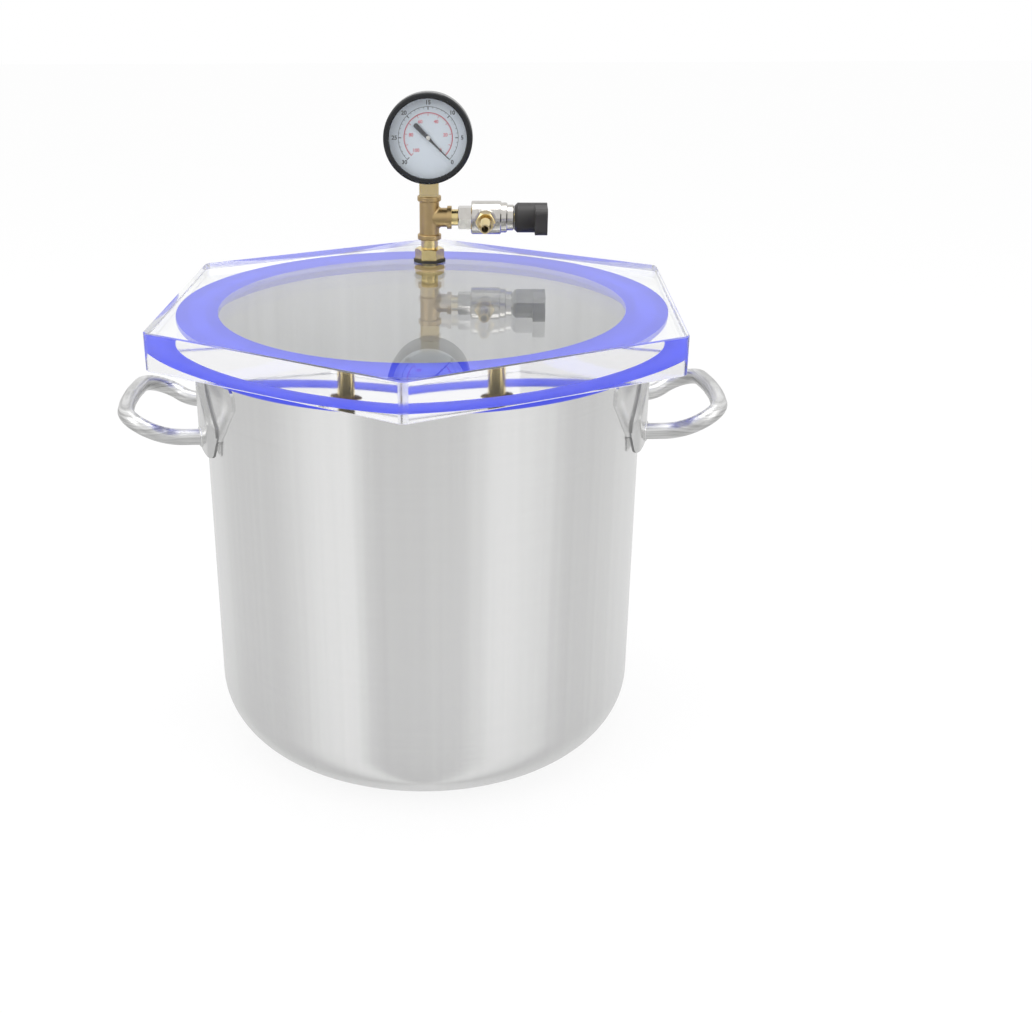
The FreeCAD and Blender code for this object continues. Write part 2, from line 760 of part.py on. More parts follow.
def outlet_turn(body, corners, cut=False):
    """Turn a section about the outlet, which leaves the valve towards -Y."""
    sketch = new_sketch(body, "YZ_Plane", (0, d.valve_centre, 0))
    outline(sketch, corners)
    kind = "Groove" if cut else "Revolution"
    feature = body.newObject("PartDesign::" + kind, body.Name + "_outlet")
    feature.Profile = sketch
    feature.ReferenceAxis = (sketch, ["H_Axis"])
    feature.Angle = 360.0
    body.Tip = feature


def make_valve_body():
    """The nickel valve body: hexagon neck, barrel, end collar and outlet boss."""
    body = new_body("valve_body")
    neck_length = d.valve_barrel_start - d.valve_start
    extrude(body, lambda sketch: outline(sketch, hex_corners(d.valve_neck_hex, 30.0)), neck_length,
            shift=(0, 0, d.valve_start))
    bevel_hex(body, d.valve_neck_hex, d.valve_start, 1)
    turn(body, [(0, d.valve_barrel_start), (d.valve_barrel_radius, d.valve_barrel_start),
                (d.valve_barrel_radius, d.valve_barrel_end), (d.valve_collar_radius, d.valve_barrel_end),
                (d.valve_collar_radius, d.valve_collar_end), (0, d.valve_collar_end)])
    for radius, height in ((d.valve_barrel_radius, d.valve_barrel_start),
                           (d.valve_barrel_radius, d.valve_barrel_end),
                           (d.valve_collar_radius, d.valve_collar_end)):
        dress(body, "Chamfer", d.valve_edge_chamfer, ring_edge(radius, height))
    outlet_turn(body, box_corners(-d.outlet_boss_reach, 0, 0, d.outlet_boss_radius))
    turn(body, box_corners(0, d.valve_start - SPARE, d.nipple_thread_radius + d.thread_clearance,
                           d.valve_start + d.thread_depth), cut=True)
    turn(body, box_corners(0, d.valve_start, d.nipple_bore_radius, d.valve_centre), cut=True)
    turn(body, box_corners(0, cavity_start, cavity_radius, d.valve_collar_end + SPARE), cut=True)
    outlet_turn(body, box_corners(-seat_back, 0, 0, d.seat_radius + d.slip_clearance), cut=True)
    outlet_turn(body, box_corners(-d.outlet_boss_reach - SPARE, 0, -seat_back, d.ball_bore_radius),
                cut=True)
    outlet_turn(body, box_corners(-d.outlet_boss_reach - SPARE, 0, d.thread_depth / 2 - d.outlet_boss_reach,
                                  d.nipple_thread_radius + d.thread_clearance), cut=True)
    on_branch(body)


def make_valve_ball():
    """A ball with an angled way through it and a slot for the stem's tang."""
    body = new_body("valve_ball")
    sphere = body.newObject("PartDesign::AdditiveSphere", "valve_ball_sphere")
    bind(sphere, "Radius", d.ball_radius)
    sphere.AttachmentOffset = Placement(Vector(0, 0, number(d.valve_centre)), Rotation())
    support = next(item for item in body.Origin.OriginFeatures if item.Role == "XY_Plane")
    sphere.AttachmentSupport = (support, "")
    sphere.MapMode = "FlatFace"
    bind(sphere, "AttachmentOffset.Base.z", d.valve_centre)
    body.Tip = sphere
    turn(body, box_corners(0, d.valve_centre - d.ball_radius - SPARE, d.ball_bore_radius,
                           d.valve_centre), cut=True)
    outlet_turn(body, box_corners(-d.ball_radius - SPARE, 0, 0, d.ball_bore_radius), cut=True)
    half = d.tang_width / 2 + d.slip_clearance
    reach = d.ball_radius + SPARE
    slot_floor = d.valve_centre + d.ball_radius - d.tang_depth - d.slip_clearance
    extrude(body, lambda sketch: outline(sketch, box_corners(-half, -reach, half, reach)),
            d.ball_radius, shift=(0, 0, slot_floor), cut=True, reverse=True)
    on_branch(body)


def make_valve_seat():
    body = new_body("valve_seat")
    outlet_turn(body, box_corners(-seat_back, d.ball_bore_radius, -seat_front, d.seat_radius))
    on_branch(body)


def make_stem_packing():
    body = new_body("stem_packing")
    turn(body, box_corners(d.stem_radius + d.running_clearance, packing_start,
                           cavity_radius - d.thread_clearance, packing_end))
    on_branch(body)


def make_packing_nut():
    body = new_body("packing_nut")
    turn(body, [(0, packing_end), (cavity_radius - d.thread_clearance, packing_end),
                (cavity_radius - d.thread_clearance, d.valve_collar_end),
                (d.packing_nut_radius, d.valve_collar_end), (d.packing_nut_radius, d.packing_nut_end),
                (0, d.packing_nut_end)])
    dress(body, "Chamfer", d.valve_edge_chamfer, ring_edge(d.packing_nut_radius, d.packing_nut_end))
    turn(body, box_corners(0, packing_end - SPARE, d.stem_radius + d.running_clearance,
                           d.packing_nut_end + SPARE), cut=True)
    on_branch(body)


stem_foot = d.valve_centre + d.ball_radius + d.slip_clearance
stem_tip = d.lever_end - d.screw_length / 2


def make_valve_stem():
    body = new_body("valve_stem")
    turn(body, box_corners(0, stem_foot, d.stem_radius, stem_tip))
    half = d.tang_width / 2
    tang_floor = stem_foot - d.tang_depth
    depth = d.stem_radius * TANG_SHARE
    extrude(body, lambda sketch: outline(sketch, box_corners(-half, -depth, half, depth)),
            d.tang_depth, shift=(0, 0, tang_floor))
    screw_hole = d.screw_thread_radius + d.thread_clearance
    turn(body, box_corners(0, d.lever_end - d.screw_length, screw_hole, stem_tip + SPARE), cut=True)
    on_branch(body)


def make_valve_lever():
    """A moulded knob with a lever that points to the outlet side when open."""
    body = new_body("valve_lever")
    turn(body, box_corners(0, d.knob_start, d.knob_radius, d.lever_end))
    dress(body, "Chamfer", d.knob_chamfer, ring_edge(d.knob_radius, d.knob_start))
    root = d.lever_root_half_width
    tip = d.lever_tip_half_width
    corners = [(-root, 0), (-tip, -d.lever_reach), (tip, -d.lever_reach), (root, 0)]
    extrude(body, lambda sketch: outline(sketch, corners), d.lever_end - d.knob_end,
            shift=(0, 0, d.knob_end))
    tip_level = -number(d.lever_reach)
    dress(body, "Fillet", d.lever_tip_radius,
          lambda edge: upright_edge(edge) and abs(edge.CenterOfMass.y - tip_level) < TOUCH)
    turn(body, box_corners(0, d.knob_start - SPARE, d.stem_radius + d.slip_clearance,
                           stem_tip + d.slip_clearance), cut=True)
    turn(body, box_corners(0, stem_tip, d.screw_thread_radius + d.slip_clearance, d.lever_end + SPARE),
         cut=True)
    turn(body, box_corners(0, d.lever_end - d.screw_head_height, d.screw_head_radius + d.slip_clearance,
                           d.lever_end + SPARE), cut=True)
    on_branch(body)


def make_lever_screw():
    body = new_body("lever_screw")
    head_back = d.lever_end - d.screw_head_height
    end = d.lever_end - d.screw_length + d.slip_clearance
    turn(body, [(0, end), (d.screw_thread_radius, end), (d.screw_thread_radius, head_back),
                (d.screw_head_radius, head_back), (d.screw_head_radius, d.lever_end), (0, d.lever_end)])
    half = d.screw_slot_width / 2
    reach = d.screw_head_radius + SPARE
    extrude(body, lambda sketch: outline(sketch, box_corners(-half, -reach, half, reach)),
            d.screw_slot_depth + SPARE, shift=(0, 0, d.lever_end - d.screw_slot_depth),
            cut=True, reverse=True)
    on_branch(body)


def make_hose_barb():
    """A brass hose barb on the outlet: hexagon, plain neck and saw-tooth ridges."""
    body = new_body("hose_barb")
    start = d.outlet_boss_reach
    extrude(body, lambda sketch: outline(sketch, hex_corners(d.barb_hex)), d.barb_hex_length,
            shift=(0, 0, start))
    bevel_hex(body, d.barb_hex, start + d.barb_hex_length, -1)
    ridge_start = start + d.barb_hex_length + d.barb_plain_length
    thread_start = start - d.thread_depth / 2
    corners = [(0, thread_start), (d.nipple_thread_radius, thread_start), (d.nipple_thread_radius, start),
               (d.barb_root_radius, start), (d.barb_root_radius, ridge_start)]
    for ridge in range(BARB_RIDGES):
        foot = ridge_start + ridge * d.barb_ridge_length
        corners += [(d.barb_ridge_radius, foot), (d.barb_root_radius, foot + d.barb_ridge_length)]
    corners.append((0, ridge_start + BARB_RIDGES * d.barb_ridge_length))
    turn(body, corners)
    turn(body, box_corners(0, thread_start - SPARE, d.barb_bore_radius,
                           ridge_start + BARB_RIDGES * d.barb_ridge_length + SPARE), cut=True)
    place(body, d.valve_centre, d.fitting_offset, branch_level, FACING_VIEWER)


make_pot()
make_gasket()
make_lid()
for side, sign in (("left", -1), ("right", 1)):
    make_handle(side, sign)
    make_handle_plate(side, sign)
make_through_fitting()
make_washer("sealing_washer_top", lid_top)
make_washer("sealing_washer_bottom", lid_bottom - d.washer_thickness)
make_lock_nut()
make_tee()
make_gauge_socket()
make_gauge_case()
make_gauge_bezel()
make_gauge_lens()
make_gauge_dial()
make_gauge_pointer()
make_gauge_arbor()
make_gauge_movement()
make_bourdon_tube()
make_valve_nipple()
make_valve_body()
make_valve_ball()
make_valve_seat()
make_stem_packing()
make_packing_nut()
make_valve_stem()
make_valve_lever()
make_lever_screw()
make_hose_barb()
doc.recompute()

for item in doc.Objects:
    if "Invalid" in item.State or "Error" in item.State:
        raise RuntimeError("%s failed: %s" % (item.Label, item.State))
for piece in pieces:
    if piece.Shape.isNull() or not piece.Shape.isValid() or not piece.Shape.Solids:
        raise RuntimeError("%s has no valid solid" % piece.Label)
    piece.Shape.exportStep("parts/%s.step" % piece.Label)
    print("%-24s %10.1f mm3, %d solid(s)" % (piece.Label, piece.Shape.Volume, len(piece.Shape.Solids)))
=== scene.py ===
import math

import bmesh
import bpy
from mathutils import Matrix, Vector


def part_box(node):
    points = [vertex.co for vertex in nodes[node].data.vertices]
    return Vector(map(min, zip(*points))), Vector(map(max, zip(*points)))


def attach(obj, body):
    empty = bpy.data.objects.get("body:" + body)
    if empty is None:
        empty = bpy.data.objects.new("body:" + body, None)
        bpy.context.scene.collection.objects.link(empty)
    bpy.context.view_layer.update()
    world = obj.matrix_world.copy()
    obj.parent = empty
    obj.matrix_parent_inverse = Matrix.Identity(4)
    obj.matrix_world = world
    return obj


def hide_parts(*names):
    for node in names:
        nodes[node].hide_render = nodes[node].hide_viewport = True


# A vacuum chamber: satin steel pot, blue silicone gasket, clear hexagonal lid,
# brass tee with a dial gauge, and a nickel valve with a black lever.

MM = 0.001
TAU = 2 * math.pi

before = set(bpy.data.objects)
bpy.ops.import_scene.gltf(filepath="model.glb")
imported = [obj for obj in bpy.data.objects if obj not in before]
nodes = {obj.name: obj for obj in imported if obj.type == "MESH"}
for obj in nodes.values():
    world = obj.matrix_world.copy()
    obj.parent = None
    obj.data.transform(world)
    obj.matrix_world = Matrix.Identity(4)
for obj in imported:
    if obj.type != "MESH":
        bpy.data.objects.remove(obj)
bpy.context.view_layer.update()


class Value:
    """A number, colour or vector on its way through a material's nodes."""

    def __init__(self, finish, socket):
        self.finish = finish
        self.socket = socket

    def math(self, operation, *others):
        """Carry this value through a maths node, with any others after it."""
        return self.finish.node("ShaderNodeMath", {"operation": operation}, self, *others)

    def __add__(self, other):
        return self.math("ADD", other)

    def __sub__(self, other):
        return self.math("SUBTRACT", other)

    def __rsub__(self, other):
        return self.finish.node("ShaderNodeMath", {"operation": "SUBTRACT"}, other, self)

    def __mul__(self, other):
        return self.math("MULTIPLY", other)

    def __truediv__(self, other):
        return self.math("DIVIDE", other)

    __radd__ = __add__
    __rmul__ = __mul__


class Finish:
    """A material or a world, built from expressions on its nodes."""

    def __init__(self, name, kind="Material"):
        library = {"Material": bpy.data.materials, "World": bpy.data.worlds}[kind]
        self.made = library.new(name)
        self.made.use_nodes = True
        self.tree = self.made.node_tree
        self.tree.nodes.clear()
        self.output = self.tree.nodes.new("ShaderNodeOutput" + kind)

    def node(self, kind, settings=None, *values, out=0, **sockets):
        """Add one node: its settings first, then its inputs by order or by name."""
        node = self.tree.nodes.new(kind)
        for name, setting in (settings or {}).items():
            setattr(node, name, setting)
        named = {name.replace("_", " "): value for name, value in sockets.items()}
        for key, value in list(enumerate(values)) + list(named.items()):
            if isinstance(value, Value):
                self.tree.links.new(value.socket, node.inputs[key])
            elif value is not None:
                node.inputs[key].default_value = value
        return Value(self, node.outputs[out])

    def place(self):
        return self.node("ShaderNodeTexCoord", out="Object")

    def part(self, vector, axis):
        return self.node("ShaderNodeSeparateXYZ", None, vector, out=axis)

    def around(self, vector):
        """The angle round the upright axis."""
        return self.part(vector, "Y").math("ARCTAN2", self.part(vector, "X"))

    def vector(self, x, y, z):
        return self.node("ShaderNodeCombineXYZ", None, x, y, z)

    def stretch(self, vector, scale):
        return self.node("ShaderNodeVectorMath", {"operation": "MULTIPLY"}, vector, scale)

    def noise(self, vector, scale, detail=3.0, roughness=0.55):
        return self.node("ShaderNodeTexNoise", None, Vector=vector, Scale=scale, Detail=detail,
                         Roughness=roughness)

    def ramp(self, value, stops):
        """Turn a 0 to 1 value into greys; stops are pairs of a place and a grey."""
        greys = self.node("ShaderNodeValToRGB", None, value)
        elements = greys.socket.node.color_ramp.elements
        while len(elements) < len(stops):
            elements.new(0.5)
        for element, (position, level) in zip(elements, stops):
            element.position = position
            element.color = grey(level)
        return greys

    def between(self, value, low, high):
        """Spread a 0 to 1 value over low to high."""
        return value * (high - low) + low

    def blend(self, factor, first, second):
        """Mix two colours; the inputs between them and the factor are for numbers and vectors."""
        others = [None] * 5
        return self.node("ShaderNodeMix", {"data_type": "RGBA"}, factor, *others, first, second, out=2)

    def bump(self, height, strength, depth):
        return self.node("ShaderNodeBump", None, Strength=strength, Distance=depth, Height=height)

    def surface(self, **sockets):
        return self.node("ShaderNodeBsdfPrincipled", None, **sockets)

    def ray(self, kind):
        """1 on rays of one kind and 0 on all others."""
        return self.node("ShaderNodeLightPath", out="Is %s Ray" % kind)

    def mixed(self, share, first, second):
        return self.node("ShaderNodeMixShader", None, share, first, second)

    def lit_through(self, solid, tint):
        """Let lamp light pass a clear solid, tinted, to what is under it."""
        return self.mixed(self.ray("Shadow"), solid, self.node("ShaderNodeBsdfTransparent", None, tint))

    def show(self, surface):
        self.tree.links.new(surface.socket, self.output.inputs["Surface"])
        return self.made


def grey(level):
    """A neutral colour."""
    return (level, level, level, 1)


def drawn_steel():
    """Satin steel polished round the pot, with fine level scratches and faint upright streaks."""
    f = Finish("drawn_steel")
    place = f.place()
    angle = f.around(place)
    rise = f.part(place, "Z")
    lines = f.noise(f.vector(angle * 1.5, rise * 480, 0), 1.0, 6.0, 0.75)
    upright = f.noise(f.vector(angle * 24.0, rise * 1.2, 0), 1.0, 4.0, 0.6)
    broad = f.noise(f.vector(angle * 2.0, rise * 14, 0), 1.0, 3.0)
    smudge = f.noise(place, 9.0, 4.0)
    tone = f.blend(f.between(lines, 0.2, 0.8), (0.79, 0.79, 0.785, 1), (0.93, 0.93, 0.925, 1))
    tone = f.blend(f.between(broad, 0.0, 0.35), tone, (0.90, 0.90, 0.90, 1))
    tone = f.blend(f.between(upright, -0.12, 0.36), tone, (0.68, 0.68, 0.675, 1))
    rough = f.between(lines, 0.15, 0.22) + f.between(smudge, -0.02, 0.03)
    return f.show(f.surface(Base_Color=tone, Metallic=1.0, Roughness=rough,
                            Normal=f.bump(lines, 0.08, 0.00003)))


def inner_steel():
    """The inside of the pot: paler and more worn, with soft upright streaks."""
    f = Finish("inner_steel")
    place = f.place()
    streaks = f.noise(f.vector(f.around(place) * 9.0, f.part(place, "Z") * 1.2, 0), 1.0, 4.0)
    cloud = f.noise(place, 16.0, 4.0)
    tone = f.blend(f.between(streaks, -0.3, 1.3), (0.74, 0.74, 0.73, 1), (0.94, 0.94, 0.93, 1))
    return f.show(f.surface(Base_Color=tone, Metallic=0.9, Roughness=f.between(cloud, 0.34, 0.46),
                            Normal=f.bump(streaks, 0.05, 0.0001)))


def rod_steel():
    """Bright round bar with drawn streaks, a little duller in patches."""
    f = Finish("rod_steel")
    place = f.place()
    patches = f.noise(place, 60.0, 4.0)
    streaks = f.noise(f.stretch(place, (25, 25, 900)), 1.0, 5.0, 0.65)
    tone = f.blend(f.between(streaks, -0.9, 1.9), (0.46, 0.46, 0.455, 1), (0.84, 0.84, 0.835, 1))
    rough = f.between(patches, 0.30, 0.42)
    return f.show(f.surface(Base_Color=tone, Metallic=1.0, Roughness=rough,
                            Normal=f.bump(streaks, 0.12, 0.00006)))


def sheet_steel():
    """Brushed sheet of the handle plates."""
    f = Finish("sheet_steel")
    place = f.place()
    brush = f.noise(f.vector(f.around(place) * 3.0, f.part(place, "Z") * 700, 0), 1.0, 4.0, 0.6)
    tone = f.blend(brush, (0.70, 0.70, 0.695, 1), (0.80, 0.80, 0.795, 1))
    return f.show(f.surface(Base_Color=tone, Metallic=1.0, Roughness=f.between(brush, 0.17, 0.25),
                            Normal=f.bump(brush, 0.06, 0.00003)))


def painted_shade_steel():
    """Painted shade: dark mottled steel on a plate's pressed line and lifted edge, standing in for the
    shadow in the gap there.
    """
    f = Finish("painted_shade_steel")
    place = f.place()
    shade_mottle = f.noise(place, 120.0, 4.0)
    tone = f.blend(shade_mottle, (0.14, 0.14, 0.14, 1), (0.34, 0.34, 0.335, 1))
    return f.show(f.surface(Base_Color=tone, Metallic=0.7, Roughness=f.between(shade_mottle, 0.45, 0.65),
                            Normal=f.bump(shade_mottle, 0.1, 0.00005)))


def blue_silicone():
    """Moulded silicone, soft sheen, dusted lighter in patches."""
    f = Finish("blue_silicone")
    place = f.place()
    cloud = f.noise(place, 35.0, 4.0)
    grain = f.noise(place, 900.0, 2.0)
    tone = f.blend(cloud, (0.030, 0.045, 0.62, 1), (0.060, 0.085, 0.80, 1))
    return f.show(f.surface(Base_Color=tone, Roughness=f.between(cloud, 0.38, 0.52),
                            Normal=f.bump(grain, 0.12, 0.00006)))


def clear(name, tint, rough_low, rough_high, index):
    """A clear solid with its refractive index, worn a little rougher in places."""
    f = Finish(name)
    place = f.place()
    wear = f.noise(place, 40.0, 5.0)
    glass = f.surface(Base_Color=tint, Roughness=f.between(wear, rough_low, rough_high), IOR=index,
                      Transmission_Weight=1.0)
    return f.show(f.lit_through(glass, tint))


def cut_acrylic():
    """The filed edges of the lid: frosted, catching the light."""
    f = Finish("cut_acrylic")
    place = f.place()
    marks = f.noise(f.stretch(place, (400, 400, 2000)), 1.0, 3.0)
    tone = f.blend(marks, (0.80, 0.81, 0.90, 1), (0.95, 0.96, 0.99, 1))
    frost = f.surface(Base_Color=tone, Roughness=f.between(marks, 0.25, 0.40), IOR=1.49,
                      Transmission_Weight=0.85)
    return f.show(f.lit_through(frost, (0.95, 0.96, 0.99, 1)))


def brass(name, dark, light, rough_low, rough_high, grain_depth):
    """Turned or cast brass: cloudy tone, fine grain."""
    f = Finish(name)
    place = f.place()
    cloud = f.noise(place, 140.0, 5.0)
    grain = f.noise(place, 2600.0, 3.0)
    tone = f.blend(cloud, dark, light)
    rough = f.between(cloud, rough_low, rough_high)
    return f.show(f.surface(Base_Color=tone, Metallic=1.0, Roughness=rough,
                            Normal=f.bump(grain, 0.25, grain_depth)))


def nickel_plate():
    """Dull nickel over a casting, with small pits."""
    f = Finish("nickel_plate")
    place = f.place()
    cloud = f.noise(place, 160.0, 4.0)
    tone = f.blend(cloud, (0.52, 0.50, 0.47, 1), (0.66, 0.64, 0.61, 1))
    pits = f.noise(place, 1500.0, 3.0)
    return f.show(f.surface(Base_Color=tone, Metallic=1.0, Roughness=f.between(cloud, 0.12, 0.26),
                            Normal=f.bump(pits, 0.15, 0.00005)))


def moulded(name, dark, light, rough_low, rough_high):
    """Moulded plastic, rubber or enamel with a fine skin."""
    f = Finish(name)
    place = f.place()
    cloud = f.noise(place, 90.0, 4.0)
    skin = f.noise(place, 2200.0, 3.0)
    tone = f.blend(cloud, dark, light)
    return f.show(f.surface(Base_Color=tone, Roughness=f.between(cloud, rough_low, rough_high),
                            Normal=f.bump(skin, 0.2, 0.00005)))


def dial_paper():
    """Cool white printed sheet of the dial."""
    f = Finish("dial_paper")
    place = f.place()
    cloud = f.noise(place, 70.0, 4.0)
    fibre = f.noise(place, 3000.0, 2.0)
    tone = f.blend(cloud, (0.76, 0.81, 0.89, 1), (0.81, 0.85, 0.91, 1))
    return f.show(f.surface(Base_Color=tone, Roughness=f.between(cloud, 0.45, 0.6),
                            Normal=f.bump(fibre, 0.05, 0.00003)))


finishes = {
    "drawn_steel": drawn_steel(),
    "inner_steel": inner_steel(),
    "rod_steel": rod_steel(),
    "sheet_steel": sheet_steel(),
    # painted shade for the plates' pressed lines and lifted edges
    "painted_shade_steel": painted_shade_steel(),
    "blue_silicone": blue_silicone(),
    "cut_acrylic": cut_acrylic(),
    "nickel_plate": nickel_plate(),
    "dial_paper": dial_paper(),
}

# tint, least and most roughness, refractive index
CLEAR = {
    "acrylic": ((0.985, 0.995, 0.99, 1), 0.0, 0.015, 1.49),
    "edge_acrylic": ((0.985, 0.985, 1.0, 1), 0.02, 0.10, 1.49),
    "corner_acrylic": ((0.95, 0.955, 0.975, 1), 0.18, 0.32, 1.49),
    "gauge_glass": ((0.97, 0.985, 0.985, 1), 0.0, 0.02, 1.5),
}

# dark and light tone, least and most roughness, depth of the grain
BRASS = {
    "cast_brass": ((0.46, 0.33, 0.16, 1), (0.58, 0.43, 0.22, 1), 0.30, 0.42, 0.00010),
    "bright_brass": ((0.68, 0.54, 0.25, 1), (0.85, 0.70, 0.37, 1), 0.14, 0.26, 0.00003),
    "works_brass": ((0.55, 0.42, 0.20, 1), (0.70, 0.55, 0.28, 1), 0.22, 0.34, 0.00003),
    "bronze": ((0.42, 0.24, 0.12, 1), (0.55, 0.34, 0.18, 1), 0.25, 0.38, 0.00003),
}

# dark and light tone, least and most roughness
MOULDED = {
    "black_plastic": ((0.022, 0.021, 0.021, 1), (0.040, 0.037, 0.037, 1), 0.42, 0.58),
    "black_enamel": ((0.006, 0.007, 0.008, 1), (0.014, 0.015, 0.017, 1), 0.14, 0.22),
    "black_rubber": ((0.015, 0.014, 0.013, 1), (0.035, 0.033, 0.031, 1), 0.6, 0.75),
    "fibre_washer": ((0.40, 0.24, 0.13, 1), (0.52, 0.34, 0.20, 1), 0.5, 0.65),
    "white_seal": ((0.72, 0.72, 0.70, 1), (0.80, 0.80, 0.78, 1), 0.4, 0.5),
    "black_ink": ((0.015, 0.016, 0.022, 1), (0.035, 0.036, 0.045, 1), 0.4, 0.55),
    "red_ink": ((0.66, 0.12, 0.16, 1), (0.76, 0.20, 0.24, 1), 0.4, 0.55),
}

for make, kinds in ((clear, CLEAR), (brass, BRASS), (moulded, MOULDED)):
    for name, numbers in kinds.items():
        finishes[name] = make(name, *numbers)

NODE_FINISHES = {
    "drawn_steel": ["pot"],
    "rod_steel": ["handle_left", "handle_right", "lever_screw"],
    "sheet_steel": ["handle_plate_left", "handle_plate_right"],
    "blue_silicone": ["gasket"],
    "acrylic": ["lid"],
    "black_rubber": ["sealing_washer_top"],
    "bright_brass": ["through_fitting", "lock_nut", "gauge_socket", "valve_nipple", "hose_barb",
                     "valve_stem"],
    "cast_brass": ["tee"],
    "black_enamel": ["gauge_case", "gauge_bezel", "gauge_pointer"],
    "gauge_glass": ["gauge_lens"],
    "dial_paper": ["gauge_dial"],
    "works_brass": ["gauge_arbor", "gauge_movement"],
    "bronze": ["bourdon_tube"],
    "nickel_plate": ["valve_body", "valve_ball", "packing_nut"],
    "fibre_washer": ["sealing_washer_bottom"],
    "white_seal": ["valve_seat", "stem_packing"],
    "black_plastic": ["valve_lever"],
}


def middle(node):
    """The middle of a node's box, in metres."""
    low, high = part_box(node)
    return (low + high) / 2


def finish_piece(piece, finish, body, sharp_angle=35):
    """Give a piece its finish and shading, and let it ride on a body."""
    piece.data.materials.clear()
    piece.data.materials.append(finishes[finish])
    piece.data.polygons.foreach_set("use_smooth", [True] * len(piece.data.polygons))
    piece.data.set_sharp_from_angle(angle=math.radians(sharp_angle))
    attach(piece, body)
    return piece


def new_piece(name, points, faces, finish, body, sharp_angle=35):
    """Make a piece from points in metres and the faces between them."""
    mesh = bpy.data.meshes.new(name)
    mesh.from_pydata([tuple(point) for point in points], [], faces)
    mesh.update()
    piece = bpy.data.objects.new(name, mesh)
    bpy.context.scene.collection.objects.link(piece)
    return finish_piece(piece, finish, body, sharp_angle)


UP = Matrix.Identity(3)
TO_VIEWER = Matrix.Rotation(math.radians(90), 3, "X")


def bend(before, corner, after, radius, steps):
    """Points of the arc that rounds a corner, in the plane or in space."""
    back = (before - corner).normalized()
    ahead = (after - corner).normalized()
    half = back.angle(ahead) / 2
    reach = radius / math.tan(half)
    centre = corner + (back + ahead).normalized() * (radius / math.sin(half))
    start = corner + back * reach - centre
    end = corner + ahead * reach - centre
    return [centre + start.slerp(end, step / steps) * radius for step in range(steps + 1)]


def eased(corners, radii, steps=5):
    """Round the corners of a closed outline; radii has one radius for each corner."""
    spots = [Vector(corner) for corner in corners]
    rounded = []
    for before, spot, after, radius in zip(spots[-1:] + spots, spots, spots[1:] + spots[:1], radii):
        rounded += bend(before, spot, after, radius, steps) if radius else [spot]
    return [tuple(spot) for spot in rounded]


def lathe(name, outline, finish, body, centre=(0, 0, 0), facing=UP, segments=96, sharp_angle=35):
    """Turn a closed outline of (radius, height) in mm about its axis."""
    outline = [(max(radius, 0.0), height) for radius, height in outline]
    points = []
    rings = []
    for radius, height in outline:
        if radius < 1e-6:
            rings.append([len(points)] * segments)
            points.append(Vector((0, 0, height)))
            continue
        rings.append([len(points) + i for i in range(segments)])
        for i in range(segments):
            angle = TAU * i / segments
            points.append(Vector((radius * math.cos(angle), radius * math.sin(angle), height)))
    faces = []
    for first, second in zip(rings, rings[1:] + rings[:1]):
        for i in range(segments):
            j = (i + 1) % segments
            loop = [first[i], first[j], second[j], second[i]]
            loop = [spot for k, spot in enumerate(loop) if spot not in loop[:k]]
            if len(loop) > 2:
                faces.append(loop)
    centre = Vector(centre)
    points = [facing @ (point * MM) + centre for point in points]
    piece = new_piece(name, points, faces, finish, body, sharp_angle)
    face_outwards(piece)
    return piece


def face_outwards(piece):
    """Turn every face of a closed piece away from its inside."""
    working = bmesh.new()
    working.from_mesh(piece.data)
    bmesh.ops.recalc_face_normals(working, faces=working.faces)
    working.to_mesh(piece.data)
    working.free()


for finish, names in NODE_FINISHES.items():
    for name in names:
        mesh = nodes[name].data
        mesh.materials.clear()
        mesh.materials.append(finishes[finish])

pot_low, pot_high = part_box("pot")
lid_low, lid_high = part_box("lid")
gasket_low, gasket_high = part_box("gasket")

# The pot, the gasket and the lid, in millimetres.
POT_RADIUS = 151.0
POT_WALL = 1.0
POT_CORNER = 42.0
POT_HEIGHT = pot_high.z / MM
RIM_RADIUS = 0.45
GASKET_INNER = 138.0
LIP_THICKNESS = 3.6
LIP_CLEARANCE = 0.3
PRESSED_IN = 0.2
LID_CORNER_RADIUS = 6.0
LID_CHAMFER = 0.8
BORE = 6.4    # a little under the fitting's shank, which fills it
HOLE_POINTS = 48
ROUND = 192   # sides of the pot and the gasket


def make_pot():
    """The drawn shell: one wall thickness, a rounded foot and an eased rim."""
    inner = POT_RADIUS - POT_WALL
    corners = [(0, 0), (POT_RADIUS, 0), (POT_RADIUS, POT_HEIGHT), (inner, POT_HEIGHT), (inner, POT_WALL),
               (0, POT_WALL)]
    radii = [0, POT_CORNER, RIM_RADIUS, RIM_RADIUS, POT_CORNER - POT_WALL, 0]
    shell = eased(corners, radii, 16)
    pot = lathe("pot_shell", shell, "drawn_steel", "chamber", segments=ROUND)
    pot.data.materials.append(finishes["inner_steel"])
    for face in pot.data.polygons:
        outwards = face.normal.x * face.center.x + face.normal.y * face.center.y
        on_inner_floor = face.normal.z > 0.7 and face.center.z < 2 * POT_WALL * MM
        if outwards < 0 or on_inner_floor:
            face.material_index = 1
    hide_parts("pot")


def make_gasket():
    """The L section ring, its flange pressed hard against the lid."""
    outer = gasket_high.x / MM
    lip_outer = POT_RADIUS - POT_WALL - LIP_CLEARANCE
    lip_inner = lip_outer - LIP_THICKNESS
    low = gasket_low.z / MM
    pressed = gasket_high.z / MM + PRESSED_IN
    corners = [(GASKET_INNER, POT_HEIGHT), (lip_inner, POT_HEIGHT), (lip_inner, low), (lip_outer, low),
               (lip_outer, POT_HEIGHT), (outer, POT_HEIGHT), (outer, pressed), (GASKET_INNER, pressed)]
    radii = [1.2, 0.6, 1.0, 1.0, 0.2, 2.4, 0.5, 0.5]
    gasket = lathe("gasket_ring", eased(corners, radii, 4), "blue_silicone", "chamber", segments=ROUND)
    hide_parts("gasket")


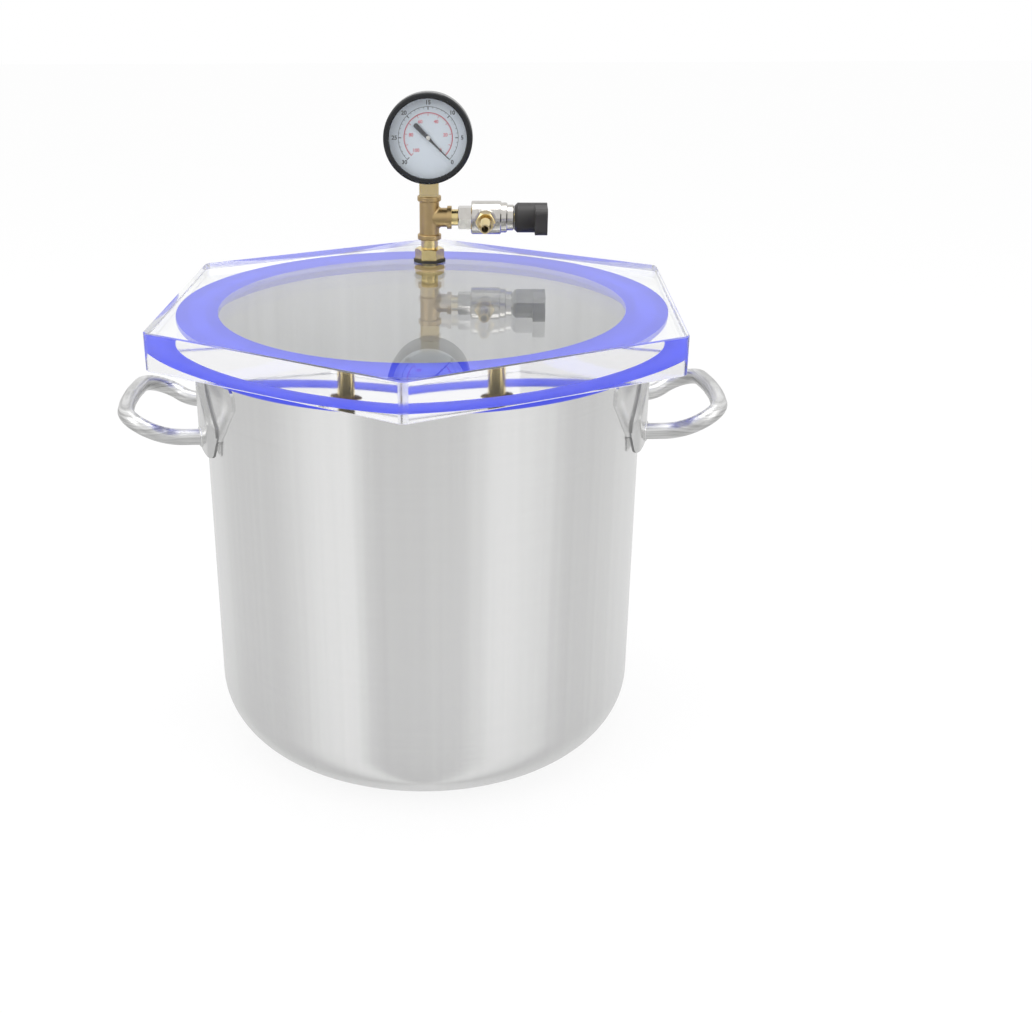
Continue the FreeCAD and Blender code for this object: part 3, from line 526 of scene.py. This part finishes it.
def bridge(working, lower, upper):
    """Join two rings, which have the same number of points, with a band of faces."""
    count = len(lower)
    for i in range(count):
        j = (i + 1) % count
        working.faces.new((lower[i], lower[j], upper[j], upper[i]))


def ring_edges(working, ring):
    """The edges round a ring of points."""
    return [working.edges.get((point, ring[(i + 1) % len(ring)])) for i, point in enumerate(ring)]


def finish_lid_faces(lid):
    """Frosted chamfers, softly polished sides and dulled upright corners."""
    for finish in ("cut_acrylic", "edge_acrylic", "corner_acrylic"):
        lid.data.materials.append(finishes[finish])
    chamfers, sides, corners = 1, 2, 3
    for face in lid.data.polygons:
        flatness = abs(face.normal.z)
        on_outside = face.center.xy.length > POT_RADIUS / 2 * MM
        if 0.2 < flatness < 0.9:
            face.material_index = chamfers
        elif flatness < 0.2 and on_outside:
            off_side = math.degrees(math.atan2(face.normal.y, face.normal.x)) % 60
            face.material_index = corners if 2 < off_side < 58 else sides


def make_lid():
    """The hexagonal acrylic plate with a polished edge and one drilled hole."""
    reach = lid_high.x / MM / math.cos(math.radians(30))
    turns = [math.radians(30 + 60 * i) for i in range(6)]
    corners = [(reach * math.cos(turn), reach * math.sin(turn)) for turn in turns]
    rim = [Vector(spot) for spot in eased(corners, [LID_CORNER_RADIUS] * 6, 10)]
    centre = (middle("through_fitting") / MM).xy
    hole = []
    for i in range(HOLE_POINTS):
        angle = TAU * i / HOLE_POINTS
        hole.append(centre + Vector((math.cos(angle), math.sin(angle))) * BORE)
    low = lid_low.z / MM
    high = lid_high.z / MM
    levels = [(low, LID_CHAMFER), (low + LID_CHAMFER, 0), (high - LID_CHAMFER, 0), (high, LID_CHAMFER)]
    working = bmesh.new()
    walls = []
    # the rim steps in at each chamfer, and the hole runs straight through
    for outline, chamfered in ((rim, 1), (hole, 0)):
        rings = []
        for level, inset in levels:
            spots = [spot * (1 - chamfered * inset / spot.length) for spot in outline]
            rings.append([working.verts.new((spot.x * MM, spot.y * MM, level * MM)) for spot in spots])
        for lower, upper in zip(rings, rings[1:]):
            bridge(working, lower, upper)
        walls.append(rings)
    for index in (0, -1):
        edges = [edge for rings in walls for edge in ring_edges(working, rings[index])]
        bmesh.ops.triangle_fill(working, use_beauty=True, use_dissolve=False, edges=edges)
    bmesh.ops.recalc_face_normals(working, faces=working.faces)
    mesh = bpy.data.meshes.new("lid_plate")
    working.to_mesh(mesh)
    working.free()
    lid = bpy.data.objects.new("lid_plate", mesh)
    bpy.context.scene.collection.objects.link(lid)
    finish_piece(lid, "acrylic", "chamber", 20)
    finish_lid_faces(lid)
    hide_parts("lid")


def rounded_path(points, radii, steps=12):
    """Straight runs joined by tangent arcs, as a list of points."""
    path = points[:1]
    for before, corner, after, radius in zip(points, points[1:], points[2:], radii):
        path += bend(before, corner, after, radius, steps)
    return path + points[-1:]


def sweep(path, radius, sides=32, closed=False):
    """Rings of points round a path, carried along it without twisting."""
    count = len(path)
    rings = []
    across = None
    for i, spot in enumerate(path):
        before = path[i - 1] if closed or i else path[0]
        after = path[(i + 1) % count] if closed or i < count - 1 else path[-1]
        along = (after - before).normalized()
        if across is None:
            across = along.orthogonal().normalized()
        across = (across - along * across.dot(along)).normalized()
        other = along.cross(across)
        turns = [TAU * k / sides for k in range(sides)]
        rings.append([spot + (across * math.cos(turn) + other * math.sin(turn)) * radius for turn in turns])
    return rings


def skin(rings, closed=False):
    """Points and faces of a tube through rings, with capped ends unless closed."""
    sides = len(rings[0])
    points = [point for ring in rings for point in ring]
    pairs = list(range(len(rings) - 1)) + ([len(rings) - 1] if closed else [])
    faces = []
    for i in pairs:
        first = i * sides
        second = (i + 1) % len(rings) * sides
        for k in range(sides):
            j = (k + 1) % sides
            faces.append((first + k, first + j, second + j, second + k))
    if not closed:
        faces.append(tuple(reversed(range(sides))))
        faces.append(tuple(range(len(points) - sides, len(points))))
    return points, faces


HANDLE_TURN = math.radians(4)
PLATE_OUTER = 152.4
PLATE_THICKNESS = 1.4

# The rod: half its span at the plate and round the loop, its levels, its bends and its welds.
ROD_RADIUS = 5.5
ROD_START = PLATE_OUTER - 14
ROD_SUNK = 0.3
SPAN = 41.6
LOOP_SPAN = 56.4
LOOP_TUCK = 0.6
LOOP_FLAT = 11.0
HANDLE_LEVEL = POT_HEIGHT - 55.1
HANDLE_RISE = 14.8
HANDLE_KINK = PLATE_OUTER + 18.0
HANDLE_END = PLATE_OUTER + 57.4 - ROD_RADIUS
BOW = 5.0
SLOPE_RADIUS = 26.0
BEND_RADIUS = 19.8
BOW_RADIUS = 120.0
BEAD_RADIUS = 1.0
BEAD_GAP = 0.5

# The plate: half its width at a drop below the pot's rim, with the corner's radius there.
PLATE_OUTLINE = [(90, 5, 7), (92, 19.5, 7), (79, 39.5, 14), (70, 50.5, 14), (66, 62.5, 5)]
PLATE_TOP = 5.0

# Its lifted middle: a small step on the pressed line, then a soft crown up to the full bulge.
CREASE = 1.2
STEP = 1.3
CROWN = 11.0
BULGE = 4.0
FADE = 14.0
MIDDLE_HALF = 50.0
MIDDLE_FLARE = 22.0
FLARE_TOP = 9.5
FLARE_DROP = 30.0
# painted shade on the plate starts this far below the rim
PAINTED_SHADE_TOP = 8.0


def on_wall(point, radius, sign):
    """Move a point along X onto an upright cylinder about the pot's axis."""
    return Vector((sign * math.sqrt(radius ** 2 - point.y ** 2), point.y, point.z))


def around_pot(points):
    """Turn points drawn square to the pot to where the handles sit, in metres."""
    turn = Matrix.Rotation(HANDLE_TURN, 3, "Z")
    return [turn @ Vector(point) * MM for point in points]


def make_rod(side, sign):
    """A bent rod: level beside the plate, then a wider bowed loop that rises."""
    top = HANDLE_LEVEL + HANDLE_RISE
    stations = [(ROD_START, SPAN, HANDLE_LEVEL), (HANDLE_KINK, SPAN, HANDLE_LEVEL),
                (HANDLE_END - BOW, LOOP_SPAN - LOOP_TUCK, top), (HANDLE_END, LOOP_FLAT, top)]
    near = [Vector((sign * out, -half, level)) for out, half, level in stations]
    far = [Vector((point.x, -point.y, point.z)) for point in reversed(near)]
    bends = [SLOPE_RADIUS, BEND_RADIUS, BOW_RADIUS]
    rings = sweep(rounded_path(near + far, bends + bends[::-1]), ROD_RADIUS)
    for ring in (rings[0], rings[-1]):
        for k, point in enumerate(ring):
            ring[k] = on_wall(point, PLATE_OUTER - ROD_SUNK, sign)
    points, faces = skin(rings)
    rod = new_piece("handle_rod_" + side, around_pot(points), faces, "rod_steel", "chamber", 50)
    face_outwards(rod)
    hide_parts("handle_" + side)


def make_weld(name, sign, y):
    """An uneven bead round one end of a rod, on the lifted middle of the plate."""
    steps = 64
    loop = []
    for i in range(steps):
        angle = TAU * i / steps
        ripple = 0.12 * math.sin(9 * angle + y) + 0.08 * math.sin(17 * angle)
        reach = ROD_RADIUS + BEAD_GAP + ripple
        spot = Vector((0, y + reach * math.cos(angle), HANDLE_LEVEL + reach * math.sin(angle)))
        loop.append(on_wall(spot, PLATE_OUTER + BULGE, sign))
    points, faces = skin(sweep(loop, BEAD_RADIUS, 10, closed=True), closed=True)
    bead = new_piece(name, around_pot(points), faces, "sheet_steel", "chamber", 60)
    face_outwards(bead)


def plate_half_width(drop, corners):
    """Half the sheet's width at a drop, measured along its outline."""
    for (high_drop, high), (low_drop, low) in zip(corners, corners[1:]):
        if high_drop <= drop <= low_drop:
            return high + (low - high) * (drop - high_drop) / max(low_drop - high_drop, 1e-9)
    return corners[-1][1]


def crease_at(drop):
    """Half the width of the lifted middle."""
    return MIDDLE_HALF + MIDDLE_FLARE * min(max((drop - FLARE_TOP) / FLARE_DROP, 0), 1)


def spaced(start, end, count):
    """Even places from start to just before end."""
    return [start + (end - start) * i / count for i in range(count)]


def plate_columns(half, edge):
    """Places across a row, closest together over the crease."""
    narrowest_margin = 0.4
    edge = min(edge, half - narrowest_margin)
    inner = edge - CREASE
    level = inner - CROWN
    places = spaced(0, level, 30) + spaced(level, inner, 14) + spaced(inner, edge, 4)
    places += spaced(edge, half, 12) + [half]
    return [-place for place in reversed(places[1:])] + places


def plate_rows():
    """Rows of points within the rounded outline, each with its half width."""
    right = [(half, -drop) for half, drop, _ in PLATE_OUTLINE]
    left = [(-half, -drop) for half, drop, _ in reversed(PLATE_OUTLINE)]
    radii = [radius for _, _, radius in PLATE_OUTLINE]
    rim = eased(right + left, radii + radii[::-1], 8)
    flank = sorted((-along, across) for across, along in rim if across > 0)
    at_bends = {round(drop, 3) for drop, _ in flank}
    between = {float(drop) for drop in range(6, 62, 2)}
    drops = sorted(at_bends | between)
    rows = []
    for drop in drops:
        half = plate_half_width(drop, flank)
        rows.append([(across, drop, half) for across in plate_columns(half, crease_at(drop))])
    return rows


def eased_share(share):
    """A share of 0 to 1 that starts and ends gently."""
    share = min(max(share, 0), 1)
    return share * share * (3 - 2 * share)


def plate_lift(across, drop):
    """How far the middle of the plate is pressed out from the wall."""
    inside = crease_at(drop) - abs(across)
    step = STEP * eased_share(inside / CREASE)
    crown = (BULGE - STEP) * eased_share((inside - CREASE) / CROWN)
    return (step + crown) * eased_share((drop - PLATE_TOP) / FADE)


def sheet_faces(height, width):
    """Faces of a sheet: a grid of points for its front, then one for its back."""
    back = height * width
    faces = []
    for row in range(height - 1):
        for column in range(width - 1):
            a = row * width + column
            b = back + a
            faces.append((a, a + 1, a + width + 1, a + width))
            faces.append((b + width, b + width + 1, b + 1, b))
    top, *between, foot = [list(range(row * width, (row + 1) * width)) for row in range(height)]
    border = top + [row[-1] for row in between] + foot[::-1] + [row[0] for row in reversed(between)]
    for a, b in zip(border, border[1:] + border[:1]):
        faces.append((b, a, back + a, back + b))
    return faces


def finish_plate_faces(plate, spots):
    """Painted shade in the pressed line, and painted shadow on the edge where the lifted middle reaches it.
    """
    touch = 0.01
    plate.data.materials.append(finishes["painted_shade_steel"])
    for face in plate.data.polygons:
        corners = [spots[index % len(spots)] for index in face.vertices]
        inside = [crease_at(drop) - abs(across) for across, drop, half in corners]
        in_line = min(inside) > -touch and max(inside) < CREASE + touch
        on_edge = min(inside) > 0 and all(half - abs(across) < touch for across, drop, half in corners)
        below_top = min(drop for across, drop, half in corners) > PAINTED_SHADE_TOP
        # these faces take the dark steel that paints the shadow of the gap
        if below_top and (in_line or on_edge):
            face.material_index = 1


def make_plate(side, sign):
    """The shield that carries a handle: sheet rolled to the wall, lifted in the middle."""
    rows = plate_rows()
    spots = [spot for row in rows for spot in row]
    points = []
    for lift in (PLATE_THICKNESS, 0.0):
        for across, drop, half in spots:
            radius = PLATE_OUTER - PLATE_THICKNESS + lift + plate_lift(across, drop)
            points.append(on_wall(Vector((0, across, POT_HEIGHT - drop)), radius, sign))
    faces = sheet_faces(len(rows), len(rows[0]))
    plate = new_piece("plate_sheet_" + side, around_pot(points), faces, "sheet_steel", "chamber", 40)
    finish_plate_faces(plate, spots)
    face_outwards(plate)
    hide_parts("handle_plate_" + side)


make_pot()
make_gasket()
make_lid()
for side, sign in (("left", -1), ("right", 1)):
    make_rod(side, sign)
    make_weld("weld_%s_near" % side, sign, -SPAN)
    make_weld("weld_%s_far" % side, sign, SPAN)
    make_plate(side, sign)


gauge = middle("gauge_dial")
dial_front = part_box("gauge_dial")[0].y
PRINT_HEIGHT = 0.04
SCALE_START = -45.0
SCALE_SWEEP = 270.0


def gauge_point(radius, angle, lift):
    """A point on the dial: radius in mm, angle in degrees as seen from the front."""
    turn = math.radians(angle)
    return Vector((gauge.x + radius * math.cos(turn) * MM, dial_front - lift * MM,
                   gauge.z + radius * math.sin(turn) * MM))


def add_mark(points, faces, inner, outer, angle, width):
    """Add one mark of ink between two radii, a little proud of the dial."""
    half = math.degrees(width / 2 / ((inner + outer) / 2))
    base = len(points)
    for lift in (0.0, PRINT_HEIGHT):
        points += [gauge_point(inner, angle - half, lift), gauge_point(outer, angle - half, lift),
                   gauge_point(outer, angle + half, lift), gauge_point(inner, angle + half, lift)]
    faces += [(base + 4, base + 5, base + 6, base + 7), (base + 3, base + 2, base + 1, base)]
    for k in range(4):
        j = (k + 1) % 4
        faces.append((base + k, base + j, base + 4 + j, base + 4 + k))


def add_arc(points, faces, inner, outer, steps):
    """Add short marks that overlap a little, so that they read as one line round the scale."""
    overlap = 1.001
    width = math.radians(SCALE_SWEEP / steps) * (inner + outer) / 2 * overlap
    for step in range(steps):
        add_mark(points, faces, inner, outer, SCALE_START + SCALE_SWEEP * (step + 0.5) / steps, width)


def add_number(points, faces, text, radius, angle, height):
    """Set a number upright at its place on the scale."""
    curve = bpy.data.curves.new("figure", "FONT")
    curve.body = text
    curve.size = height * MM
    curve.align_x = "CENTER"
    curve.align_y = "CENTER"
    curve.extrude = PRINT_HEIGHT / 2 * MM
    curve.offset = 0.10 * MM
    letter = bpy.data.objects.new("figure", curve)
    mesh = bpy.data.meshes.new_from_object(letter)
    base = len(points)
    centre = gauge_point(radius, angle, PRINT_HEIGHT / 2)
    points += [TO_VIEWER @ vertex.co + centre for vertex in mesh.vertices]
    faces += [tuple(base + index for index in polygon.vertices) for polygon in mesh.polygons]
    bpy.data.objects.remove(letter)
    bpy.data.curves.remove(curve)
    bpy.data.meshes.remove(mesh)


def make_scale(name, finish, arc, ticks, numbers, size):
    """One printed scale: its arc, its ticks (count, reach, width) and its numbers."""
    points = []
    faces = []
    inner, outer = arc
    add_arc(points, faces, inner, outer, 90)
    for count, reach, width in ticks:
        for i in range(count + 1):
            angle = SCALE_START + SCALE_SWEEP * i / count
            add_mark(points, faces, min(inner, reach), max(outer, reach), angle, width)
    radius, texts = numbers
    for i, text in enumerate(texts):
        add_number(points, faces, text, radius, SCALE_START + SCALE_SWEEP * i / (len(texts) - 1), size)
    scale = new_piece(name, points, faces, finish, "chamber")


make_scale("dial_scale_outer", "black_ink", (21.6, 21.9), ((30, 20.6, 0.28), (6, 19.6, 0.6)),
           (24.6, ["0", "5", "10", "15", "20", "25", "30"]), 4.0)
make_scale("dial_scale_inner", "red_ink", (17.2, 17.9), ((50, 16.3, 0.22), (10, 15.4, 0.5)),
           (12.6, ["0", "20", "40", "60", "80", "100"]), 3.3)


def make_pointer():
    """A thin hand with a broad round-ended tail under a domed hub."""
    reach = 20.6
    tail_reach = 12.3
    tail_radius = 1.7
    thickness = 0.5
    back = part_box("gauge_pointer")[1].y
    turn = Matrix.Rotation(math.radians(SCALE_START), 3, "Z")
    upper = [(reach, 0.25), (5.0, 0.7), (3.0, 0.9), (0, 1.3)]
    lower = [(x, -y) for x, y in reversed(upper)]
    turns = [math.radians(angle) for angle in range(90, 271, 15)]
    tail = [(-tail_reach + tail_radius * math.cos(a), tail_radius * math.sin(a)) for a in turns]
    shape = upper + tail + lower
    points = []
    for lift in (0.0, thickness):
        points += [TO_VIEWER @ (turn @ Vector((x, y, lift))) for x, y in shape]
    count = len(shape)
    faces = [tuple(range(count, 2 * count)), tuple(reversed(range(count)))]
    faces += [(k, (k + 1) % count, count + (k + 1) % count, count + k) for k in range(count)]
    centre = Vector((gauge.x, back, gauge.z))
    points = [point * MM + centre for point in points]
    hand = new_piece("pointer_hand", points, faces, "black_ink", "pointer")
    face_outwards(hand)
    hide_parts("gauge_pointer")
    dome = eased([(0, thickness), (1.7, thickness), (1.7, 1.2), (0, 1.2)], [0, 0, 0.5, 0])
    hub = lathe("pointer_hub", dome, "nickel_plate", "pointer", centre, TO_VIEWER, 48)


make_pointer()


def make_floor():
    """A pale floor that reads almost white to the camera but keeps the shadow."""
    bpy.ops.mesh.primitive_plane_add(size=12.0, location=(0, 0, pot_low.z))
    floor = bpy.context.object
    floor.name = "floor"
    f = Finish("floor_white")
    speck = f.noise(f.place(), 3.0, 3.0)
    tone = f.blend(speck, grey(0.92), grey(0.95))
    lit = f.surface(Base_Color=tone, Roughness=f.between(speck, 0.7, 0.8), Specular_IOR_Level=0.0)
    light = f.node("ShaderNodeEmission", None, grey(1.0), 1.0)
    glow = f.ray("Camera").math("MAXIMUM", f.ray("Transmission")) * 0.86
    near = f.mixed(glow, lit, light)
    studio = f.node("ShaderNodeBsdfTransparent", None, grey(1.0))
    floor.data.materials.append(f.show(f.mixed(f.ray("Glossy") * 0.8, near, studio)))


def make_world():
    """A soft studio: grey and pale panels all round near the floor, white above them."""
    f = Finish("studio", "World")
    direction = f.node("ShaderNodeTexCoord", out="Generated")
    ahead = f.part(direction, "Y") * -1.0
    azimuth = f.part(direction, "X").math("ARCTAN2", ahead) / TAU + 0.5
    bands = f.ramp(azimuth, [(0.0, 0.74), (0.09, 0.68), (0.13, 0.66), (0.178, 0.55), (0.27, 0.53),
                             (0.3, 0.60), (0.345, 0.74), (0.38, 0.81), (0.405, 0.81), (0.425, 0.59),
                             (0.438, 0.51), (0.5, 0.54), (0.562, 0.56), (0.59, 0.68), (0.612, 0.80),
                             (0.638, 0.80), (0.662, 0.73), (0.69, 0.71), (0.712, 0.60), (0.735, 0.52),
                             (0.78, 0.55), (0.87, 0.67), (1.0, 0.74)])
    above = f.ramp(f.part(direction, "Z") * 0.5 + 0.5, [(0.515, 0.0), (0.555, 1.0)])
    studio = f.node("ShaderNodeBackground", None, f.blend(above, bands, grey(0.95)), 1.0)
    white = f.node("ShaderNodeBackground", None, grey(1.0), 1.0)
    unbent = f.ray("Camera").math("MAXIMUM", f.ray("Transmission"))
    bpy.context.scene.world = f.show(f.mixed(unbent, studio, white))


def make_lamp(name, spot, size, power, target=(0, 0, 0.25)):
    """A soft rectangular lamp that faces a point."""
    lamp = bpy.data.lights.new(name, "AREA")
    lamp.shape = "RECTANGLE"
    lamp.size, lamp.size_y = size
    lamp.energy = power
    holder = bpy.data.objects.new(name, lamp)
    bpy.context.scene.collection.objects.link(holder)
    holder.location = spot
    holder.rotation_euler = (Vector(target) - Vector(spot)).to_track_quat("-Z", "Y").to_euler()


def make_camera():
    """The camera stands a little to the right of the dial's axis and looks down."""
    azimuth = math.radians(3.216)
    distance = 0.901
    level = 0.5389
    pitch = math.radians(22.718)
    roll = math.radians(-0.47)
    focal_px = 1344.9
    width_px = 1032
    axis_px = 423.5
    sensor = 36.0
    camera = bpy.data.cameras.new("camera")
    camera.sensor_width = sensor
    camera.lens = focal_px / width_px * sensor
    camera.shift_x = (width_px / 2 - axis_px) / width_px
    holder = bpy.data.objects.new("camera", camera)
    bpy.context.scene.collection.objects.link(holder)
    holder.location = (distance * math.sin(azimuth), -distance * math.cos(azimuth), level)
    look = Matrix.Rotation(azimuth, 3, "Z") @ Matrix.Rotation(math.pi / 2 - pitch, 3, "X")
    holder.rotation_euler = (look @ Matrix.Rotation(roll, 3, "Z")).to_euler()
    bpy.context.scene.camera = holder


make_floor()
make_world()
make_lamp("key_left", (-1.3, -1.1, 1.5), (1.0, 1.4), 8)
make_lamp("fill_right", (1.5, -0.9, 1.1), (1.0, 1.4), 5)
make_lamp("top", (0.0, 0.1, 1.7), (0.9, 0.9), 8)
make_camera()
bpy.context.scene.view_settings.view_transform = "Standard"
